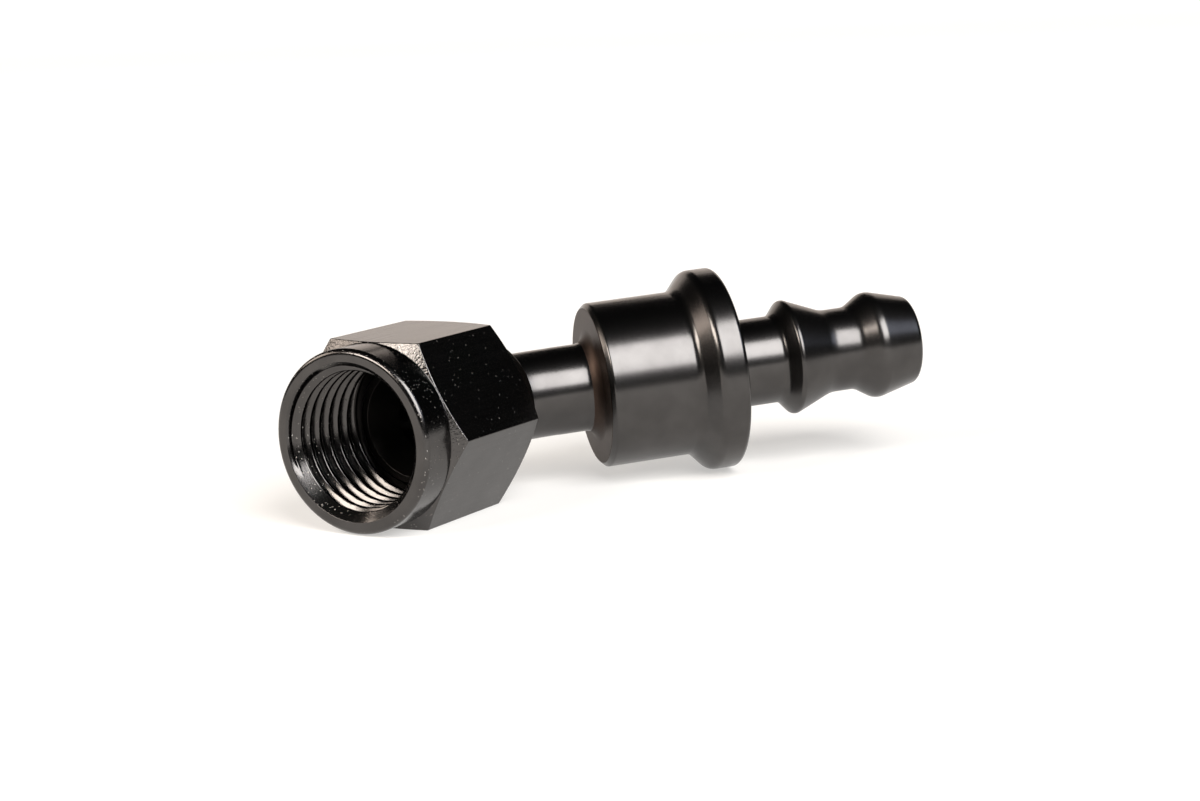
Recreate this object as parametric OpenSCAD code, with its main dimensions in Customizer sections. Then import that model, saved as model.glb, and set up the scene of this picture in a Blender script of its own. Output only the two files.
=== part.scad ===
// Forty-five degree hose end: a swivel nut with an internal thread, held by a wire ring on
// a nipple that runs back through a bent tube into a flanged body and a two-ridge hose barb.
//
// The origin is the centre of the nipple's rim, on the nut's axis. +X points out of the
// nut's mouth and +Z is up. The part lies as it comes to rest, with one flat of the hexagon
// and the lower edge of the flange on the surface. Lengths are in millimetres.

/* [Nut] */
// Width of the hexagon across its flats
hex_af = 17.46; // [16.8:0.1:18.4]
// Length of the hexagon along its axis
hex_len = 13.15; // [12.4:0.1:14]
// Diameter of the round collar at the mouth
collar_d = 17.28; // [16.4:0.1:17.4]
// Length of the collar
collar_len = 3.75; // [2.5:0.1:5]
// Diameter of the round hub behind the hexagon
hub_d = 14; // [13.8:0.1:15.4]
// Length of the hub
hub_len = 3.5; // [2:0.1:4]
// How far the mouth stands out beyond the nipple's rim
mouth_out = 9.5; // [8:0.1:11]
// Minor diameter of the internal thread
thread_minor_d = 12.94; // [12.7:0.02:13.1]
// Diameter of the chamfer at the mouth
mouth_chamfer_d = 14.92; // [14.3:0.1:15.4]
// Diameter of the relief behind the thread
relief_d = 14.5; // [14.2:0.1:15]
// Width of the relief
relief_w = 1.3; // [0.8:0.1:1.6]
// Distance from the end of the thread to the nipple's rim
thread_to_rim = 0.15; // [0.1:0.05:0.5]

/* [Nipple] */
// Diameter of the nipple that the nut turns on
nipple_d = 12.1; // [11.6:0.1:12.4]
// Length of the nipple from its rim to its rear face
nipple_len = 4.35; // [4.1:0.05:4.6]
// Outer diameter of the conical seat, inside the rim
seat_d = 10.4; // [9.6:0.1:11]
// Angle between the seat's wall and the axis
seat_angle = 37; // [35:1:45]

/* [Tube] */
// Length of straight tube between the nipple and the bend
neck_len = 0.9; // [0.9:0.1:2]
// Angle of the bend
bend_angle = 45; // [40:1:50]
// Radius of the bend along the middle of the tube
bend_r = 17; // [14:0.5:17.5]
// Outer diameter of the tube
tube_d = 8.8; // [8.4:0.1:9.2]
// Diameter of the passage, the same from the seat to the tip
bore_d = 6.6; // [6:0.1:7]

/* [Body] */
// Length of straight tube between the bend and the front face of the body
straight_len = 4; // [3.5:0.1:5]
// Diameter of the body
body_d = 16.6; // [16:0.1:17.4]
// Length of the body up to the foot of the flange's cone
body_len = 9.2; // [8.5:0.1:12]
// Diameter of the flange
flange_d = 20.4; // [19.6:0.1:21.4]
// Length of the cone that rises to the flange's rim
flange_cone_len = 1.7; // [1.4:0.1:2.4]
// Width of the flange's rim
flange_rim_w = 2.7; // [1.6:0.1:3]

/* [Barb] */
// Diameter of the stem between the flange and the first ridge
stem_d = 8.9; // [8.6:0.1:9.2]
// Diameter of the stem between the two ridges
mid_stem_d = 8.5; // [8.2:0.1:8.8]
// Length of the stem between the flange and the first ridge
stem_len = 5.7; // [4:0.1:8]
// Diameter of the first ridge at its corner
ridge_1_d = 11.9; // [11.4:0.1:12.2]
// Length of the first ridge's face, on the side of the flange
ridge_1_face_len = 1.3; // [1.2:0.1:1.8]
// Length of the first ridge's slope, on the side of the tip
ridge_1_slope_len = 4.1; // [3:0.1:4.5]
// Length of the stem between the two ridges
mid_stem_len = 2.8; // [2.4:0.1:5]
// Diameter of the second ridge at its corner
ridge_2_d = 11.16; // [10.7:0.02:11.5]
// Length of the second ridge's face
ridge_2_face_len = 2.1; // [2:0.1:2.4]
// Length of the second ridge's slope, up to the tip
ridge_2_slope_len = 4.4; // [4:0.1:5]
// Outer diameter of the tip's end face, before its edge is rounded
tip_d = 8.9; // [8.7:0.1:9]

/* [Retaining wire] */
// Diameter of the wire
wire_d = 1.2; // [1:0.05:1.25]
// Distance from the rim back to the middle of the wire's groove
groove_back = 2.95; // [2.9:0.05:3.1]
// Part of the turn that the wire runs round
wire_turn = 330; // [270:5:340]
// Diameter of the wire's ground and hooked tip
hook_d = 0.9; // [0.7:0.05:1]
// Depth of the hook below the wire's ring
hook_len = 1.5; // [1.2:0.1:1.7]
// Diameter of the hole that the wire is fed in through
feed_hole_d = 1.5; // [1.4:0.1:1.7]

/* [Edges] */
// Angle of the hexagon's chamfer at the mouth side, from the end face
hex_front_chamfer = 25; // [15:1:35]
// Angle of the hexagon's chamfer at the rear, from the end face
hex_rear_chamfer = 30; // [15:1:35]
// Radius on the outer edge of the mouth
mouth_edge_r = 0.4; // [0.2:0.05:0.6]
// Radius on the outer edge of the hub
hub_edge_r = 0.35; // [0.2:0.05:0.5]
// Chamfer on the inner edge of the hub
hub_chamfer = 0.3; // [0.2:0.05:0.5]
// Chamfer on the rim and on the rear edge of the nipple
nipple_chamfer = 0.2; // [0.1:0.05:0.3]
// Radius of the fillet where the nipple turns down to the tube
nipple_fillet_r = 0.8; // [0.4:0.1:0.9]
// Radius of the fillet where the tube runs into the body
body_fillet_r = 1.4; // [1:0.1:1.8]
// Chamfer on the front edge of the body
body_chamfer = 0.45; // [0.35:0.05:1.3]
// Radius on both corners of that chamfer
body_edge_r = 0.3; // [0.1:0.05:0.5]
// Radius of the fillet at the foot of the flange's cone
flange_fillet_r = 0.9; // [0.5:0.1:1.3]
// Radius where the flange's cone meets its rim
flange_front_r = 0.6; // [0.3:0.1:0.9]
// Radius on the rear edge of the flange's rim
flange_rear_r = 0.4; // [0.2:0.05:0.6]
// Radius of the fillet behind the flange
stem_fillet_r = 1.2; // [0.6:0.1:1.6]
// Radius at the foot of the first ridge
ridge_1_foot_r = 1; // [0.6:0.1:1.8]
// Radius on the corner of the first ridge
ridge_1_corner_r = 0.5; // [0.2:0.05:0.6]
// Radius where the first slope runs out into the stem
slope_run_out_r = 3; // [2:0.5:5]
// Radius at the foot of the second ridge
ridge_2_foot_r = 1.8; // [1.4:0.2:3.4]
// Radius on the corner of the second ridge
ridge_2_corner_r = 1.5; // [0.6:0.1:2]
// Radius on the tip's outer edge
tip_r = 0.6; // [0.4:0.05:0.8]

/* [Fits] */
// Gap between the nipple and the nut's bore, measured on the radius
nut_running_gap = 0.09; // [0.06:0.01:0.1]
// Gap between the wire and its grooves, measured on the wire's radius
wire_gap = 0.05; // [0.03:0.01:0.08]

/* [Hidden] */
// How far a cut runs past the surface that it opens
cut_over = 1;
// A rounding takes no more than this share of the sides beside it, in steps of this angle
wall_share = 0.9;
arc_step = 9;
// The nut's stations along its axis
mouth_x = mouth_out;
hex_front_x = mouth_x - collar_len;
hex_rear_x = hex_front_x - hex_len;
hub_rear_x = hex_rear_x - hub_len;
nut_bore_d = nipple_d + 2 * nut_running_gap;
hex_corner_d = hex_af / cos(30);
mouth_chamfer_depth = (mouth_chamfer_d - thread_minor_d) / 2;
// The wire sits half in the nipple and half in the nut
wire_ring_r = nipple_d / 2;
groove_r = wire_d / 2 + wire_gap;
hook_hole_r = hook_d / 2 + wire_gap;
// The hook stands at the wire's first end, this far round from it
hook_turn = 8;
// Where the wire starts, and where its feed hole leaves the nut, round the axis from +Y
wire_start = 205;
feed_hole_turn = 150;
// The bend starts this far behind the rim
bend_back = nipple_len + neck_len;
// The tube draws in this much on the radius where it is bent
bend_draw = 0.02;
// The bend runs on into the straight tube by this angle
bend_run_in = 1;
// The barb's stations along its axis, from the end of the bend
cone_foot = straight_len + body_len;
rim_front = cone_foot + flange_cone_len;
rim_rear = rim_front + flange_rim_w;
ridge_1_foot = rim_rear + stem_len;
ridge_1_corner = ridge_1_foot + ridge_1_face_len;
ridge_1_end = ridge_1_corner + ridge_1_slope_len;
ridge_2_foot = ridge_1_end + mid_stem_len;
ridge_2_corner = ridge_2_foot + ridge_2_face_len;
tip_end = ridge_2_corner + ridge_2_slope_len;
// The part rolls about the nut's axis until the flange's rim comes down to the level of the
// hexagon's flat: this is how steeply the barb's axis then climbs, and the roll in degrees
rim_reach = bend_r * tan(bend_angle / 2) + rim_front;
rest_climb = (flange_d / 2 * sqrt(pow(rim_reach, 2) + pow(flange_d / 2, 2) - pow(hex_af / 2, 2))
              - rim_reach * hex_af / 2) / (pow(rim_reach, 2) + pow(flange_d / 2, 2));
rest_roll = asin(rest_climb / sin(bend_angle));
$fn = 96;

// Turns the local Z axis onto the nut's axis, pointing out of its mouth
module on_nut_axis() {
    rotate([0, 90, 0]) children();
}

// Turns local X, round the nut's axis, by an angle from +Y towards +Z
module round_nut_axis(turn) {
    rotate([turn, 0, 0]) children();
}

// Carries the children along the bend, from its start behind the nipple, by an angle
module along_bend(turn) {
    translate([-bend_back, bend_r, 0]) rotate([0, 0, -turn]) children();
}

// Turns the local Z axis onto the barb's axis, from the end of the bend towards the tip
module on_barb_axis() {
    along_bend(bend_angle) translate([0, -bend_r, 0]) rotate([0, -90, 0]) children();
}

// The unit vector from one point of an outline to another
function towards(from, to) = (to - from) / norm(to - from);

// The points of an arc that rounds a corner, no wider than the two sides beside it allow
function arc_points(before, corner, after, r) =
    let (
        a = towards(corner, before),
        b = towards(corner, after),
        half_angle = acos(a * b) / 2,
        room = wall_share * min(norm(before - corner), norm(after - corner)),
        reach = min(r / tan(half_angle), room),
        arc_r = reach * tan(half_angle),
        centre = corner + (a + b) / norm(a + b) * arc_r / sin(half_angle),
        first = corner + a * reach - centre,
        last = corner + b * reach - centre,
        turn = sign(cross(first, last)) * (180 - 2 * half_angle),
        start = atan2(first[1], first[0]),
        steps = ceil(abs(turn) / arc_step),
        step = turn / steps
    )
    [for (i = [0:steps]) centre + arc_r * [cos(start + i * step), sin(start + i * step)]];

// An outline whose points each carry the radius that rounds them
function rounded(path) = [
    for (i = [0:len(path) - 1])
        let (
            before = path[(i + len(path) - 1) % len(path)],
            here = path[i],
            after = path[(i + 1) % len(path)]
        )
        each here[2] == 0 ? [[here[0], here[1]]]
            : arc_points([before[0], before[1]], [here[0], here[1]], [after[0], after[1]], here[2])
];

// Nut: the hexagon's turned chamfers, as radius and station along the axis
module nut_chamfer_outline() {
    collar_r = collar_d / 2;
    corner_r = hex_corner_d / 2 + cut_over;
    front_drop = (corner_r - collar_r) * tan(hex_front_chamfer);
    rear_drop = (corner_r - collar_r) * tan(hex_rear_chamfer);
    polygon([
        [0, hex_rear_x], [collar_r, hex_rear_x], [corner_r, hex_rear_x + rear_drop],
        [corner_r, hex_front_x - front_drop], [collar_r, hex_front_x], [0, hex_front_x]
    ]);
}

module nut_collar_outline() {
    collar_r = collar_d / 2;
    foot_x = hex_front_x - cut_over;
    polygon(rounded([
        [0, foot_x, 0], [collar_r, foot_x, 0], [collar_r, mouth_x, mouth_edge_r], [0, mouth_x, 0]
    ]));
}

module nut_hub_outline() {
    hub_r = hub_d / 2;
    foot_x = hex_rear_x + cut_over;
    polygon(rounded([
        [0, hub_rear_x, 0], [hub_r, hub_rear_x, hub_edge_r], [hub_r, foot_x, 0], [0, foot_x, 0]
    ]));
}

// Nut: everything that is bored out, as one outline from the hub to the mouth
module nut_bore_outline() {
    bore_r = nut_bore_d / 2;
    minor_r = thread_minor_d / 2;
    chamfer_r = mouth_chamfer_d / 2;
    relief_r = relief_d / 2;
    relief_x = thread_to_rim - relief_w;
    polygon([
        [0, hub_rear_x - cut_over], [bore_r + hub_chamfer, hub_rear_x - cut_over],
        [bore_r + hub_chamfer, hub_rear_x], [bore_r, hub_rear_x + hub_chamfer],
        [bore_r, relief_x], [relief_r, relief_x], [relief_r, thread_to_rim],
        [minor_r, thread_to_rim], [minor_r, mouth_x - mouth_chamfer_depth], [chamfer_r, mouth_x],
        [chamfer_r, mouth_x + cut_over], [0, mouth_x + cut_over]
    ]);
}

module wire_groove() {
    on_nut_axis() translate([0, 0, -groove_back])
        rotate_extrude() translate([wire_ring_r, 0]) circle(groove_r);
}

module swivel_nut() {
    color("#26262a") difference() {
        union() {
            intersection() {
                on_nut_axis() translate([0, 0, hex_rear_x]) rotate([0, 0, 30])
                    cylinder(d = hex_corner_d, h = hex_len, $fn = 6);
                on_nut_axis() rotate_extrude() nut_chamfer_outline();
            }
            on_nut_axis() rotate_extrude() nut_collar_outline();
            on_nut_axis() rotate_extrude() nut_hub_outline();
        }
        on_nut_axis() rotate_extrude() nut_bore_outline();
        wire_groove();
        round_nut_axis(feed_hole_turn) translate([-groove_back, wire_ring_r, 0])
            rotate([-90, 0, 0]) cylinder(d = feed_hole_d, h = hex_corner_d / 2);
    }
}

// Hose end: the nipple with its straight neck, as radius and station along the nut's axis
module nipple_outline() {
    nipple_r = nipple_d / 2;
    tube_r = tube_d / 2;
    polygon(rounded([
        [0, -bend_back, 0], [tube_r, -bend_back, 0], [tube_r, -nipple_len, nipple_fillet_r],
        [nipple_r - nipple_chamfer, -nipple_len, 0], [nipple_r, nipple_chamfer - nipple_len, 0],
        [nipple_r, -nipple_chamfer, 0], [nipple_r - nipple_chamfer, 0, 0], [0, 0, 0]
    ]));
}

// Hose end: the seat and the passage behind it
module seat_outline() {
    bore_r = bore_d / 2;
    seat_r = seat_d / 2;
    seat_depth = (seat_r - bore_r) / tan(seat_angle);
    polygon([
        [0, -bend_back], [bore_r, -bend_back], [bore_r, -seat_depth], [seat_r, 0],
        [seat_r, cut_over], [0, cut_over]
    ]);
}

// Hose end: straight tube, body, flange and barb, as radius and station from the bend's end
module barb_outline() {
    tube_r = tube_d / 2;
    body_r = body_d / 2;
    flange_r = flange_d / 2;
    stem_r = stem_d / 2;
    mid_r = mid_stem_d / 2;
    polygon(rounded([
        [0, 0, 0], [tube_r, 0, 0], [tube_r, straight_len, body_fillet_r],
        [body_r - body_chamfer, straight_len, body_edge_r],
        [body_r, straight_len + body_chamfer, body_edge_r],
        [body_r, cone_foot, flange_fillet_r], [flange_r, rim_front, flange_front_r],
        [flange_r, rim_rear, flange_rear_r], [stem_r, rim_rear, stem_fillet_r],
        [stem_r, ridge_1_foot, ridge_1_foot_r], [ridge_1_d / 2, ridge_1_corner, ridge_1_corner_r],
        [mid_r, ridge_1_end, slope_run_out_r], [mid_r, ridge_2_foot, ridge_2_foot_r],
        [ridge_2_d / 2, ridge_2_corner, ridge_2_corner_r], [tip_d / 2, tip_end, tip_r],
        [0, tip_end, 0]
    ]));
}

// Hose end: a bent rod that runs a little way into the straight ends of what it joins
module bent_rod(r) {
    along_bend(90 + bend_angle + bend_run_in) rotate_extrude(angle = bend_angle + 2 * bend_run_in)
        translate([bend_r, 0]) circle(r);
}

// The hole in the nipple's groove that takes the wire's hook
module hook_hole() {
    hole_foot = wire_ring_r - hook_len - wire_gap;
    round_nut_axis(wire_start + hook_turn) translate([-groove_back, hole_foot, 0])
        rotate([-90, 0, 0]) cylinder(r = hook_hole_r, h = hook_len);
}

module hose_end() {
    color("#2c2c30") rotate([rest_roll, 0, 0]) difference() {
        union() {
            on_nut_axis() rotate_extrude() nipple_outline();
            bent_rod(tube_d / 2 - bend_draw);
            on_barb_axis() rotate_extrude() barb_outline();
        }
        on_nut_axis() rotate_extrude() seat_outline();
        bent_rod(bore_d / 2 - bend_draw);
        on_barb_axis() cylinder(d = bore_d, h = tip_end + cut_over);
        wire_groove();
        hook_hole();
    }
}

// Wire: an open ring with one end ground down and hooked into the nipple
module retaining_wire() {
    color("#9a9ca0") rotate([rest_roll, 0, 0]) union() {
        translate([-groove_back, 0, 0]) round_nut_axis(wire_start)
            rotate([0, 90, 0]) rotate([0, 0, 90])
                rotate_extrude(angle = wire_turn) translate([wire_ring_r, 0]) circle(d = wire_d);
        round_nut_axis(wire_start + hook_turn) translate([-groove_back, wire_ring_r - hook_len, 0])
            rotate([-90, 0, 0]) cylinder(d = hook_d, h = hook_len);
    }
}

swivel_nut();
hose_end();
retaining_wire();
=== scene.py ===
import math

import bmesh
import bpy
from mathutils import Matrix, Vector


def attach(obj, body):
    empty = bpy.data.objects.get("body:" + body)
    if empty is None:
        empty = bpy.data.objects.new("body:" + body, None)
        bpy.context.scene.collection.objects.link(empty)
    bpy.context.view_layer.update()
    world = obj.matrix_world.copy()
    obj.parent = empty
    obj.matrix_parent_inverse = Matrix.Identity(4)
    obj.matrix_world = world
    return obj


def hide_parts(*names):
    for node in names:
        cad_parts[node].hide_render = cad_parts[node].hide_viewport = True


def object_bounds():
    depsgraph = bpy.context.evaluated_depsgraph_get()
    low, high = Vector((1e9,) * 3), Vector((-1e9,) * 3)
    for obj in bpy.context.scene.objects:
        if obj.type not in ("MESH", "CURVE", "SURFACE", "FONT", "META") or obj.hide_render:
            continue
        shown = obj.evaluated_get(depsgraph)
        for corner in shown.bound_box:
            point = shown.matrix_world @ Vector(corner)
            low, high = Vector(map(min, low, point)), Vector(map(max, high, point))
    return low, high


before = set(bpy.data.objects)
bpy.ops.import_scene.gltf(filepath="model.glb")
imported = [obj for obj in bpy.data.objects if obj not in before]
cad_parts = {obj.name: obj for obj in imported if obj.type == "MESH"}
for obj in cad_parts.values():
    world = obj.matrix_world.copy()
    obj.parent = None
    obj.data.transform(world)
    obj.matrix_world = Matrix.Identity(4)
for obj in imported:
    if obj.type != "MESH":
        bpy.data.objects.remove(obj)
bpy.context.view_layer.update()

# Sizes in millimetres, as in the part's source, but for a few edges that are rounded more
MM = 0.001
AF = 17.4599
COLLAR_R = 8.64
HUB_R = 7.0
MOUTH_X = 9.5
HEX_FRONT_X = 5.75
HEX_REAR_X = -7.4
HUB_REAR_X = -10.9
MINOR_R = 6.47
MAJOR_R = 7.14
PITCH = 1.411
CREST_HALF = 0.17
CHAMFER_R = 7.46
RELIEF_R = 7.25
THREAD_END_X = 0.15
RELIEF_X = -1.15
BORE_R = 6.14
GROOVE_X = -2.95
GROOVE_R = 0.65
NIPPLE_R = 6.05
NIPPLE_LEN = 4.35
SEAT_R = 5.2
FLOW_R = 3.3
TUBE_R = 4.4
BEND_R = 17.0
BEND = math.radians(45)
BEND_START = 5.25
BEND_END = BEND_START + BEND_R * BEND
ROLL = math.radians(5.35428)
CORNER_EASE = 0.15
HEX_FRONT_ANGLE = 25
HEX_REAR_ANGLE = 30
SEAT_ANGLE = 37
FEED_HOLE_R = 0.75
FEED_HOLE_ANGLE = 150
BODY_R = 8.3
FLANGE_R = 10.2
STEM_R = 4.45
FIRST_BARB_R = 5.95
WAIST_R = 4.25
SECOND_BARB_R = 5.58
TIP_R = 4.44
SHOULDER_FROM = BEND_END + 2.7
SHOULDER_TO = BEND_END + 4.02
FACING_SHOULDER = 0.3
DULLER_FROM = 36.0
DULLER_TO = 44.0
BEND_RINGS = 48
BEND_INSET = 0.02

# Depths of the surface marks, in metres
CUT_DEPTH = 0.00001
GRAIN_DEPTH = 0.0001
BEAD_DEPTH = 0.00003


def link(obj):
    bpy.context.scene.collection.objects.link(obj)
    return obj


def arc(before, corner, after, r, step=7.0):
    """The points that round one corner of an outline."""
    a = (before - corner).normalized()
    b = (after - corner).normalized()
    half = a.angle(b) / 2
    reach = min(r / math.tan(half), 0.49 * (before - corner).length, 0.49 * (after - corner).length)
    r = reach * math.tan(half)
    centre = corner + (a + b).normalized() * r / math.sin(half)
    first = corner + a * reach - centre
    turn = math.pi - 2 * half
    if first.x * (corner + b * reach - centre).y < first.y * (corner + b * reach - centre).x:
        turn = -turn
    steps = max(2, math.ceil(abs(math.degrees(turn)) / step))
    return [centre + Matrix.Rotation(turn * i / steps, 2) @ first for i in range(steps + 1)]


def rounded(path):
    """An outline of (along, out, radius) points, with its corners rounded."""
    points = []
    for i, (x, y, r) in enumerate(path):
        here = Vector((x, y))
        if r == 0:
            points.append(here)
        else:
            before = Vector(path[i - 1][:2])
            after = Vector(path[(i + 1) % len(path)][:2])
            points.extend(arc(before, here, after, r))
    return points


def finish_mesh(bm, name, body, node):
    """Turns a bmesh into a piece that rides on its body and stands for its node."""
    bmesh.ops.recalc_face_normals(bm, faces=bm.faces[:])
    for face in bm.faces:
        face.smooth = True
    mesh = bpy.data.meshes.new(name)
    bm.to_mesh(mesh)
    bm.free()
    obj = link(bpy.data.objects.new(name, mesh))
    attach(obj, body)
    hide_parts(node)
    return obj


# The nut: one ring of points is drawn along the axis, over the outside and back through the bore
def corner_offset(angle):
    """How far an angle lies from the nearest corner of the hexagon, in radians."""
    return (angle + math.pi / 6) % (math.pi / 3) - math.pi / 6


def hex_radius(angle):
    """The hexagon's radius at an angle, with its long edges eased."""
    off = abs(corner_offset(angle))
    flat = AF / 2 / math.cos(math.pi / 6 - off)
    eased_centre = (AF / 2 - CORNER_EASE) / math.cos(math.pi / 6)
    side = eased_centre * math.sin(off)
    if side < CORNER_EASE * math.sin(math.pi / 6):
        return eased_centre * math.cos(off) + math.sqrt(CORNER_EASE ** 2 - side ** 2)
    return flat


def thread_radius(angle, x):
    """The radius of the sixty degree thread's wall, with a flat crest and a flat root."""
    phase = (x / PITCH - angle / (2 * math.pi)) % 1.0
    depth = (abs(phase - 0.5) * PITCH - CREST_HALF) * math.sqrt(3)
    return MINOR_R + min(MAJOR_R - MINOR_R, max(0.0, depth))


def ring_angles():
    """The angles of a ring's points, closer together at the hexagon's corners."""
    angles = []
    for sector in range(6):
        start = sector * math.pi / 3
        ease = math.radians(0.43)
        angles += [start - ease, start - ease / 2, start, start + ease / 2]
        inner = math.pi / 3 - 2 * ease
        angles += [start + ease + inner * i / 28 for i in range(28)]
    return angles


def build_nut():
    """The nut, carried ring by ring over the outside and back through the thread."""
    bm = bmesh.new()
    along = bm.verts.layers.float.new("along")
    angles = ring_angles()
    made = bmesh.ops.create_circle(bm, segments=len(angles), radius=1.0)
    verts = made["verts"]
    for v, angle in zip(verts, angles):
        v.co = Vector((0, math.cos(angle), math.sin(angle)))
    edges = list({e for v in verts for e in v.link_edges})
    front = math.tan(math.radians(HEX_FRONT_ANGLE))
    rear = math.tan(math.radians(HEX_REAR_ANGLE))
    ease = 0.07

    def place(ring, rule):
        for v in ring:
            angle = math.atan2(v.co.z, v.co.y)
            x, r = rule(angle)
            v.co = Vector((x * MM, r * MM * math.cos(angle), r * MM * math.sin(angle)))
            v[along] = x

    def turned(x, r):
        return lambda angle: (x, r)

    def flat_end(at_front, along_flat, down):
        sign = 1 if at_front else -1
        slope = front if at_front else rear
        end = HEX_FRONT_X if at_front else HEX_REAR_X
        return lambda angle: (
            end - sign * (hex_radius(angle) - down - COLLAR_R) * slope - sign * along_flat,
            hex_radius(angle) - down)

    rules = [turned(p.x, p.y) for p in rounded([
        (HUB_REAR_X, BORE_R + 0.3, 0.05), (HUB_REAR_X, HUB_R, 0.35), (HEX_REAR_X, HUB_R, 0.12),
        (HEX_REAR_X, COLLAR_R, 0.04), (HEX_REAR_X + 0.1, COLLAR_R + 0.1 / rear, 0)])][:-1]
    rules += [flat_end(False, 0, ease), flat_end(False, 0, 0), flat_end(False, ease, 0)]
    rules += [flat_end(True, ease, 0), flat_end(True, 0, 0), flat_end(True, 0, ease)]
    rules += [turned(p.x, p.y) for p in rounded([
        (HEX_FRONT_X - 0.1, COLLAR_R + 0.1 / front, 0), (HEX_FRONT_X, COLLAR_R, 0.1),
        (MOUTH_X, COLLAR_R, 0.65), (MOUTH_X, CHAMFER_R, 0.05),
        (MOUTH_X - 0.35, CHAMFER_R - 0.35, 0)])[1:]]
    # The chamfer runs down into the thread, and the thread into the relief
    steps = math.ceil((MOUTH_X - 0.4 - THREAD_END_X) / (PITCH / 24))
    for i in range(steps + 1):
        x = MOUTH_X - 0.4 - (MOUTH_X - 0.4 - THREAD_END_X) * i / steps
        cone = CHAMFER_R - (MOUTH_X - x)
        rules.append(lambda angle, x=x, cone=cone: (x, max(cone, thread_radius(angle, x))))
    groove = [(GROOVE_X + GROOVE_R * math.cos(t), NIPPLE_R + GROOVE_R * math.sin(t))
              for t in [math.radians(8 + 12 * k) for k in range(15)]]
    inner = [(THREAD_END_X, RELIEF_R), (RELIEF_X, RELIEF_R), (RELIEF_X, BORE_R)]
    inner += [(x, max(r, BORE_R)) for x, r in groove]
    inner += [(HUB_REAR_X + 0.3, BORE_R), (HUB_REAR_X + 0.03, BORE_R + 0.27)]
    rules += [turned(x, r) for x, r in inner]

    place(verts, rules[0])
    start_verts = verts[:]
    for rule in rules[1:]:
        out = bmesh.ops.extrude_edge_only(bm, edges=edges)
        verts = [g for g in out["geom"] if isinstance(g, bmesh.types.BMVert)]
        edges = [g for g in out["geom"] if isinstance(g, bmesh.types.BMEdge)]
        edges = [e for e in edges if e.verts[0] in set(verts) and e.verts[1] in set(verts)]
        place(verts, rule)
    start_set = set(start_verts)
    start_edges = [e for e in bm.edges
                   if e.is_boundary and e.verts[0] in start_set and e.verts[1] in start_set]
    bmesh.ops.bridge_loops(bm, edges=start_edges + edges)
    return finish_mesh(bm, "nut_shell", "nut", "swivel_nut")


def feed_hole(nut):
    """Drills the wire's feed hole through one flat of the hexagon."""
    bm = bmesh.new()
    bmesh.ops.create_cone(bm, cap_ends=True, segments=48, radius1=FEED_HOLE_R * MM,
                          radius2=FEED_HOLE_R * MM, depth=4 * MM)
    turn = Matrix.Rotation(math.radians(FEED_HOLE_ANGLE - 90), 4, "X")
    place = turn @ Matrix.Translation((GROOVE_X * MM, 0, 8.3 * MM))
    bmesh.ops.transform(bm, matrix=place, verts=bm.verts[:])
    mesh = bpy.data.meshes.new("feed_hole_cut")
    bm.to_mesh(mesh)
    bm.free()
    cutter = link(bpy.data.objects.new("feed_hole_cut", mesh))
    cut = nut.modifiers.new("feed_hole", "BOOLEAN")
    cut.operation = "DIFFERENCE"
    cut.solver = "EXACT"
    cut.object = cutter
    bpy.context.view_layer.objects.active = nut
    bpy.ops.object.modifier_apply(modifier="feed_hole")
    bpy.data.objects.remove(cutter)
    # The rim on the flat stays crisp
    angle = math.radians(FEED_HOLE_ANGLE)
    way = Vector((0, math.cos(angle), math.sin(angle)))
    points = [v.co - Vector((GROOVE_X * MM, 0, 0)) for v in nut.data.vertices]
    on_flat = [abs(p.dot(way) - AF / 2 * MM) < 0.01 * MM for p in points]
    on_wall = [abs((p - way * p.dot(way)).length - FEED_HOLE_R * MM) < 0.01 * MM for p in points]
    for edge in nut.data.edges:
        edge.use_edge_sharp = all(on_flat[i] and on_wall[i] for i in edge.vertices)


# The hose end: turned as one straight piece, then bent
def along_path(s, y, z):
    """Where a point of the straight piece comes to lie once the tube is bent and rolled."""
    turn = min(max(s - BEND_START, 0.0) / BEND_R, BEND)
    x = -min(s, BEND_START) - BEND_R * math.sin(turn)
    side = BEND_R * (1 - math.cos(turn))
    rest = max(s - BEND_END, 0.0)
    x -= rest * math.cos(turn)
    side += rest * math.sin(turn)
    x += y * math.sin(turn)
    side += y * math.cos(turn)
    return Matrix.Rotation(ROLL, 3, "X") @ Vector((x, side, z)) * MM


def bend_stations(r, numbers):
    """Stations through the bend, drawn in a little between its ends, as the solid is."""
    length = BEND_END - BEND_START
    return [(BEND_START + length * i / BEND_RINGS, r - (BEND_INSET if 0 < i < BEND_RINGS else 0), 0)
            for i in numbers]


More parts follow.
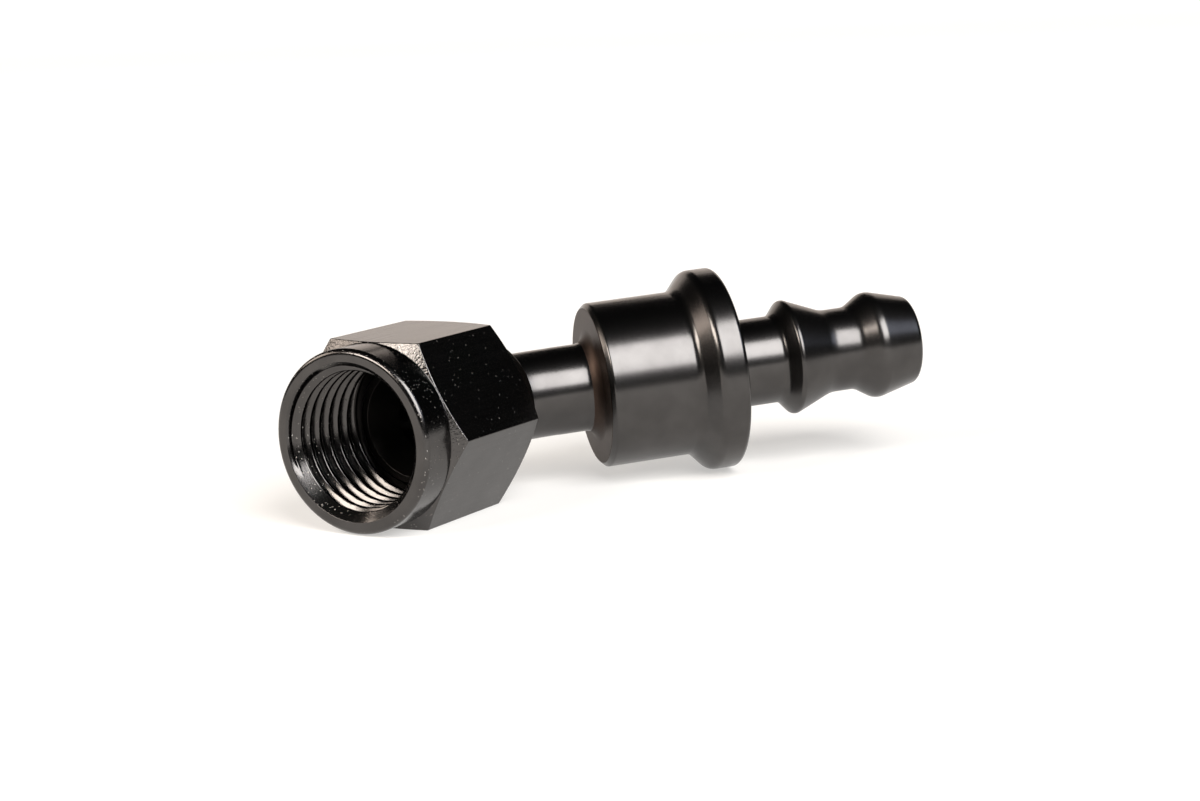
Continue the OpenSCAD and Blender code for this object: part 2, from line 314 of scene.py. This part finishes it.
def build_hose_end():
    """The hose end's outline, spun about its axis and then bent."""
    e = BEND_END
    outline = [
        (0, SEAT_R, 0.08), (0, NIPPLE_R - 0.2, 0.05), (0.2, NIPPLE_R, 0.05)]
    outline += [(-GROOVE_X - GROOVE_R * math.cos(t), NIPPLE_R - GROOVE_R * math.sin(t), 0)
                for t in [math.radians(15 * k) for k in range(13)]]
    outline += [
        (NIPPLE_LEN - 0.2, NIPPLE_R, 0.05), (NIPPLE_LEN, NIPPLE_R - 0.2, 0.05), (NIPPLE_LEN, TUBE_R, 0.8),
        (BEND_START, TUBE_R, 0)]
    outline += bend_stations(TUBE_R, range(1, BEND_RINGS + 1))
    outline += [
        # The body, from its front face to the foot of the flange
        (e + 4.0, TUBE_R, 1.4), (e + 4.0, 7.85, 0.3), (e + 4.45, BODY_R, 0.3), (e + 13.2, BODY_R, 1.2),
        # The flange, and the stem behind it
        (e + 14.9, FLANGE_R, 1.1), (e + 17.6, FLANGE_R, 0.5),
        (e + 17.6, STEM_R, 1.2), (e + 23.3, STEM_R, 1.0),
        # The two barbs, with the waist between them
        (e + 24.6, FIRST_BARB_R, 0.5), (e + 28.7, WAIST_R, 3.0), (e + 31.5, WAIST_R, 1.8),
        (e + 33.6, SECOND_BARB_R, 1.5),
        # The tip, and the way back through the passage
        (e + 38.0, TIP_R, 0.62), (e + 38.0, FLOW_R, 0.08), (e, FLOW_R, 0)]
    outline += bend_stations(FLOW_R, range(BEND_RINGS - 1, -1, -1))
    outline += [((SEAT_R - FLOW_R) / math.tan(math.radians(SEAT_ANGLE)), FLOW_R, 0.1)]
    points = rounded(outline)
    bm = bmesh.new()
    along = bm.verts.layers.float.new("along")
    verts = [bm.verts.new((p.x, p.y, 0)) for p in points]
    edges = [bm.edges.new((verts[i - 1], verts[i])) for i in range(len(verts))]
    bmesh.ops.spin(bm, geom=verts + edges, cent=(0, 0, 0), axis=(1, 0, 0), angle=2 * math.pi,
                   steps=144, use_merge=True)
    for v in bm.verts:
        v[along] = v.co.x
        v.co = along_path(v.co.x, v.co.y, v.co.z)
    return finish_mesh(bm, "hose_end_skin", "barb", "hose_end")


# Materials
def linear(code):
    """An sRGB hex colour as linear RGBA."""
    parts = [int(code[i:i + 2], 16) / 255 for i in (1, 3, 5)]
    return [c / 12.92 if c <= 0.04045 else ((c + 0.055) / 1.055) ** 2.4 for c in parts] + [1.0]


def node(tree, kind, settings=None, **links):
    """Adds a shader node, sets its properties and inputs, and links other nodes' outputs to it.
    A link is named for its input, or i and the input's number."""
    made = tree.nodes.new(kind)
    for key, value in (settings or {}).items():
        if isinstance(key, str) and hasattr(made, key):
            setattr(made, key, value)
        else:
            made.inputs[key].default_value = value
    for key, source in links.items():
        numbered = key[0] == "i" and key[1:].isdigit()
        socket = made.inputs[int(key[1:]) if numbered else key.replace("_", " ")]
        tree.links.new(source, socket)
    return made


def ramp(tree, source, low, high, to_low, to_high):
    """Maps a value from one span to another and holds it there."""
    made = node(tree, "ShaderNodeMapRange", {1: low, 2: high, 3: to_low, 4: to_high}, i0=source)
    return made.outputs[0]


def tooled(name, colour, rough, along, line_mm, line_bump, grain_mm, grain_bump, specks):
    """A metal with fine tool marks that run with the cut, the grain of its skin, a faint cloudiness
    and pale specks. The marks and the grain are given in millimetres, the specks as a share."""
    mat = bpy.data.materials.new(name)
    mat.use_nodes = True
    tree = mat.node_tree
    tree.nodes.clear()
    coords = node(tree, "ShaderNodeTexCoord").outputs["Object"]
    mm = node(tree, "ShaderNodeMapping", {"Scale": (1000, 1000, 1000)}, Vector=coords).outputs[0]
    cloud = node(tree, "ShaderNodeTexNoise", {"Scale": 0.35, "Detail": 3.0}, Vector=mm).outputs["Fac"]
    grain = node(tree, "ShaderNodeTexNoise", {"Scale": 1.0 / grain_mm, "Detail": 2.0, "Roughness": 0.6},
                 Vector=mm).outputs["Fac"]
    if along == "flat":
        across = 1000 / line_mm
        drawn = node(tree, "ShaderNodeMapping", {"Scale": (60, across, across)},
                     Vector=coords).outputs[0]
        lines = node(tree, "ShaderNodeTexNoise", {"Scale": 1.0, "Detail": 3.0}, Vector=drawn).outputs["Fac"]
        duller = None
    else:
        w = node(tree, "ShaderNodeAttribute", {"attribute_name": "along"}).outputs["Fac"]
        lines = node(tree, "ShaderNodeTexNoise", {
            "noise_dimensions": "1D", "Scale": 1.0 / line_mm, "Detail": 3.0}, W=w).outputs["Fac"]
        # From the back of the flange on, the stem and its barbs are a little duller
        duller = ramp(tree, w, DULLER_FROM, DULLER_TO, 0.0, 0.03)
    # Pale specks: one small dot in some of the cells
    dots = node(tree, "ShaderNodeTexVoronoi", {"Scale": 3.4, "Randomness": 1.0}, Vector=mm)
    dot = ramp(tree, dots.outputs["Distance"], 0.14, 0.26, 1.0, 0.0)
    pick = ramp(tree, node(tree, "ShaderNodeSeparateXYZ", i0=dots.outputs["Color"]).outputs[0],
                1.0 - specks, 1.02 - specks, 0.0, 0.7)
    speck = node(tree, "ShaderNodeMath", {"operation": "MULTIPLY"}, i0=dot, i1=pick).outputs[0]
    dark = [c * 0.85 for c in linear(colour)[:3]] + [1.0]
    tone = node(tree, "ShaderNodeMix", {"data_type": "RGBA", 6: dark, 7: linear(colour)},
                i0=ramp(tree, cloud, 0.35, 0.65, 0.0, 1.0)).outputs[2]
    tint = node(tree, "ShaderNodeMix", {"data_type": "RGBA", 7: linear("#8f8b86")},
                i0=speck, i6=tone).outputs[2]
    sheen = node(tree, "ShaderNodeMath", {"operation": "ADD"},
                 i0=ramp(tree, lines, 0.3, 0.7, rough - 0.03 * line_bump, rough + 0.03 * line_bump),
                 i1=ramp(tree, grain, 0.3, 0.7, -0.01, 0.02)).outputs[0]
    if duller is not None:
        sheen = node(tree, "ShaderNodeMath", {"operation": "ADD"}, i0=sheen, i1=duller).outputs[0]
    cut = node(tree, "ShaderNodeBump", {"Strength": line_bump, "Distance": CUT_DEPTH},
               Height=lines).outputs[0]
    fine = node(tree, "ShaderNodeBump", {"Strength": grain_bump, "Distance": GRAIN_DEPTH},
                Height=grain, Normal=cut).outputs[0]
    bead = node(tree, "ShaderNodeBump", {"Strength": 1.0, "Distance": BEAD_DEPTH},
                Height=speck, Normal=fine).outputs[0]
    surface = node(tree, "ShaderNodeBsdfPrincipled", {"Metallic": 1.0},
                   Base_Color=tint, Roughness=sheen, Normal=bead)
    node(tree, "ShaderNodeOutputMaterial", Surface=surface.outputs[0])
    return mat


def lit_board(name, colour, rough, near_glow, glow, glow_colour="#fffdfa"):
    """A pale matt board that glows, with a faint tooth; its glow runs from near_glow close to the part to
    glow further out, painted light where the two differ.
    """
    mat = bpy.data.materials.new(name)
    mat.use_nodes = True
    tree = mat.node_tree
    tree.nodes.clear()
    coords = node(tree, "ShaderNodeTexCoord").outputs["Object"]
    tooth = node(tree, "ShaderNodeTexNoise", {"Scale": 900.0, "Detail": 2.0}, Vector=coords).outputs["Fac"]
    bump = node(tree, "ShaderNodeBump", {"Strength": 0.05, "Distance": 0.0001}, Height=tooth).outputs[0]
    reach = node(tree, "ShaderNodeVectorMath", {"operation": "LENGTH"}, i0=coords).outputs["Value"]
    # Painted light: the glow is dimmer close to the part and rises to full further out
    lit = ramp(tree, reach, 0.05, 0.4, near_glow, glow)
    surface = node(tree, "ShaderNodeBsdfPrincipled", {
        "Base Color": linear(colour), "Roughness": rough, "Specular IOR Level": 0.2,
        "Emission Color": linear(glow_colour)}, Normal=bump, Emission_Strength=lit)
    node(tree, "ShaderNodeOutputMaterial", Surface=surface.outputs[0])
    return mat


# Every black finish is anodised aluminium: the dyed oxide makes the bare metal's mirror near black
# and satin. A finishing feed leaves rings about 0.05 mm apart, and the etch a grain of about
# 0.02 mm, both too fine to show, so they are drawn at 0.1 to 0.3 mm.
# Turned bar: smooth and satin, with long clear highlights and rings that hardly show
turned_black = tooled("black_anodised_turned", "#4e4c4b", 0.22, "turned", 0.15, 0.006, 0.14, 0.004, 0.0)
# The shoulder: matt, and painted darker and browner as the dark reflection that its face shows
shoulder_black_painted_dark = tooled("black_anodised_shoulder_painted_dark_reflection", "#3f342e", 0.48, "turned", 0.1, 0.05, 0.12, 0.06, 0.0)
# The nut's turned collar and thread: glossier, with pale specks where the oxide is nicked
nut_turned = tooled("black_anodised_turned_nut", "#4e4c4b", 0.18, "turned", 0.2, 0.03, 0.14, 0.05, 0.45)
# The hexagon's turned chamfer, tumbled: a coarse glittering grain
nut_edge = tooled("black_anodised_tumbled_edge", "#565453", 0.16, "turned", 0.2, 0.03, 0.24, 0.5, 0.45)
# The hexagon's flats, left as the bar was drawn: faint lines that run along the axis
nut_flat = tooled("black_anodised_drawn_flat", "#4e4c4b", 0.22, "flat", 0.3, 0.6, 0.15, 0.03, 0.12)
# The drilled bores and the nipple hidden in the nut: duller, and painted darker as the shade of their deep
# recesses
bore_black_painted_shade = tooled("black_anodised_bore_painted_shade", "#2a2827", 0.35, "turned", 0.3, 0.02, 0.15, 0.01, 0.0)
# Spring steel wire, drawn bright: pale grey, with lines too fine to show drawn at 0.2 mm
wire_steel = tooled("drawn_spring_wire", "#b8b6b0", 0.22, "flat", 0.2, 0.1, 0.15, 0.004, 0.0)

nut = build_nut()
feed_hole(nut)
for mat in (nut_turned, nut_flat, bore_black_painted_shade, nut_edge):
    nut.data.materials.append(mat)
for poly in nut.data.polygons:
    out = math.hypot(poly.center.y, poly.center.z)
    if abs(poly.normal.x) < 0.02 and out > 8.7 * MM:
        poly.material_index = 1
    # The thread relief and the rear bore take the painted shade of the dark recess
    elif poly.center.x < (THREAD_END_X + 0.1) * MM and out < (RELIEF_R + 0.1) * MM:
        poly.material_index = 2
    elif out > (COLLAR_R + 0.05) * MM and poly.center.x > 0:
        poly.material_index = 3
hose_end = build_hose_end()
for mat in (turned_black, bore_black_painted_shade, shoulder_black_painted_dark):
    hose_end.data.materials.append(mat)
shoulder_way = Matrix.Rotation(ROLL, 3, "X") @ Vector((math.cos(BEND), -math.sin(BEND), 0))
stations = hose_end.data.attributes["along"].data
for poly in hose_end.data.polygons:
    # The nipple and seat hidden inside the nut take the painted shade of the dark recess
    if poly.center.x > -(NIPPLE_LEN + 0.3) * MM:
        poly.material_index = 1
    # The shoulder's face and fillet, which face the nut, get the painted dark reflection
    elif poly.normal.dot(shoulder_way) > FACING_SHOULDER:
        if SHOULDER_FROM < stations[poly.vertices[0]].value < SHOULDER_TO:
            poly.material_index = 2
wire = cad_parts["retaining_wire"]
wire.data.materials.clear()
wire.data.materials.append(wire_steel)
for piece in (nut, hose_end):
    weighted = piece.modifiers.new("weighted_normals", "WEIGHTED_NORMAL")
    weighted.weight = 80
    weighted.keep_sharp = True

# The pale table that the part lies on, two pale walls behind it and a card that its edges mirror
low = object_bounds()[0][2]


def toward(turn, climb):
    """The direction at a turn in plan and a climb above the table, in degrees."""
    t, c = math.radians(turn), math.radians(climb)
    return (math.cos(c) * math.cos(t), math.cos(c) * math.sin(t), math.sin(c))


def board(name, centre, size, turn, mat):
    """A flat board of the surroundings."""
    bm = bmesh.new()
    bmesh.ops.create_grid(bm, x_segments=1, y_segments=1, size=0.5)
    bmesh.ops.scale(bm, vec=(size[0], size[1], 1), verts=bm.verts[:])
    bmesh.ops.transform(bm, matrix=Matrix.Translation(centre) @ turn, verts=bm.verts[:])
    mesh = bpy.data.meshes.new(name)
    bm.to_mesh(mesh)
    bm.free()
    mesh.materials.append(mat)
    obj = link(bpy.data.objects.new(name, mesh))
    return obj


table_board = lit_board("pale_table", "#b5b3b0", 0.7, 0.5, 1.0)
wall_board = lit_board("pale_wall", "#767573", 0.7, 0.95, 0.95, "#f6e6da")
far_board = lit_board("pale_far_wall", "#767573", 0.7, 1.05, 1.05)
board("table", (0, 0, low - 0.00002), (60, 60), Matrix.Identity(4), table_board)
wall_way = Vector((math.cos(math.radians(213)), math.sin(math.radians(213)), 0))
wall_turn = wall_way.to_track_quat("-Z", "Y").to_matrix().to_4x4()
board("far_wall", wall_way * 6 + Vector((0, 0, low + 0.25)), (12, 0.5), wall_turn, far_board)
board("wall", wall_way * 1.5 + Vector((0, 0, low + 0.37)), (2.4, 0.48), wall_turn, wall_board)
card_way = Vector(toward(199, 21))
card_turn = card_way.to_track_quat("-Z", "Y").to_matrix().to_4x4()
board("back_card", card_way * 1.3, (0.44, 0.5), card_turn, wall_board)

# Light: a large soft panel to the right of the camera, a warm one to its left, a small one close
# by on the left, a faint cool one far to the right, and a dim room
def panel(name, direction, distance, size, radiance, colour="#ffffff"):
    """A soft oblong panel, as bright as it is told, that faces the part."""
    light = bpy.data.lights.new(name, "AREA")
    light.shape = "RECTANGLE"
    light.size, light.size_y = size
    light.energy = radiance * math.pi * size[0] * size[1]
    light.color = linear(colour)[:3]
    obj = link(bpy.data.objects.new(name, light))
    way = Vector(direction).normalized()
    obj.location = way * distance
    obj.rotation_mode = "QUATERNION"
    obj.rotation_quaternion = way.to_track_quat("Z", "Y")
    return obj


panel("key_panel", toward(64, 41), 0.5, (0.36, 0.35), 11.2)
panel("side_panel", toward(-24, 34), 0.6, (0.32, 0.18), 17.0, "#fff6ec")
panel("near_panel", (0.39, -0.86, 0.48), 0.13, (0.055, 0.042), 6.5, "#fff0e2")
panel("fill_panel", toward(100, 34), 0.7, (0.25, 0.3), 1.8, "#dbe8ff")
world = bpy.data.worlds.new("dim_room")
world.use_nodes = True
world.node_tree.nodes["Background"].inputs[0].default_value = (0.9, 0.95, 1.0, 1.0)
world.node_tree.nodes["Background"].inputs[1].default_value = 0.015
bpy.context.scene.world = world
bpy.context.scene.view_settings.view_transform = "Standard"

# The camera stands where the photograph was taken from: its own axes, and its place in millimetres
camera_data = bpy.data.cameras.new("camera")
camera_data.sensor_width = 36
camera_data.lens = 64.428
camera_data.clip_start = 0.005
camera = link(bpy.data.objects.new("camera", camera_data))
right = Vector((-0.51773, 0.85472, -0.03768))
up = Vector((-0.17242, -0.0611, 0.98313))
back = Vector((0.83799, 0.51549, 0.17901))
camera.matrix_world = Matrix.Translation(Vector((160.742, 119.912, 37.899)) * MM) @ Matrix(
    (right, up, back)).transposed().to_4x4()
bpy.context.scene.camera = camera
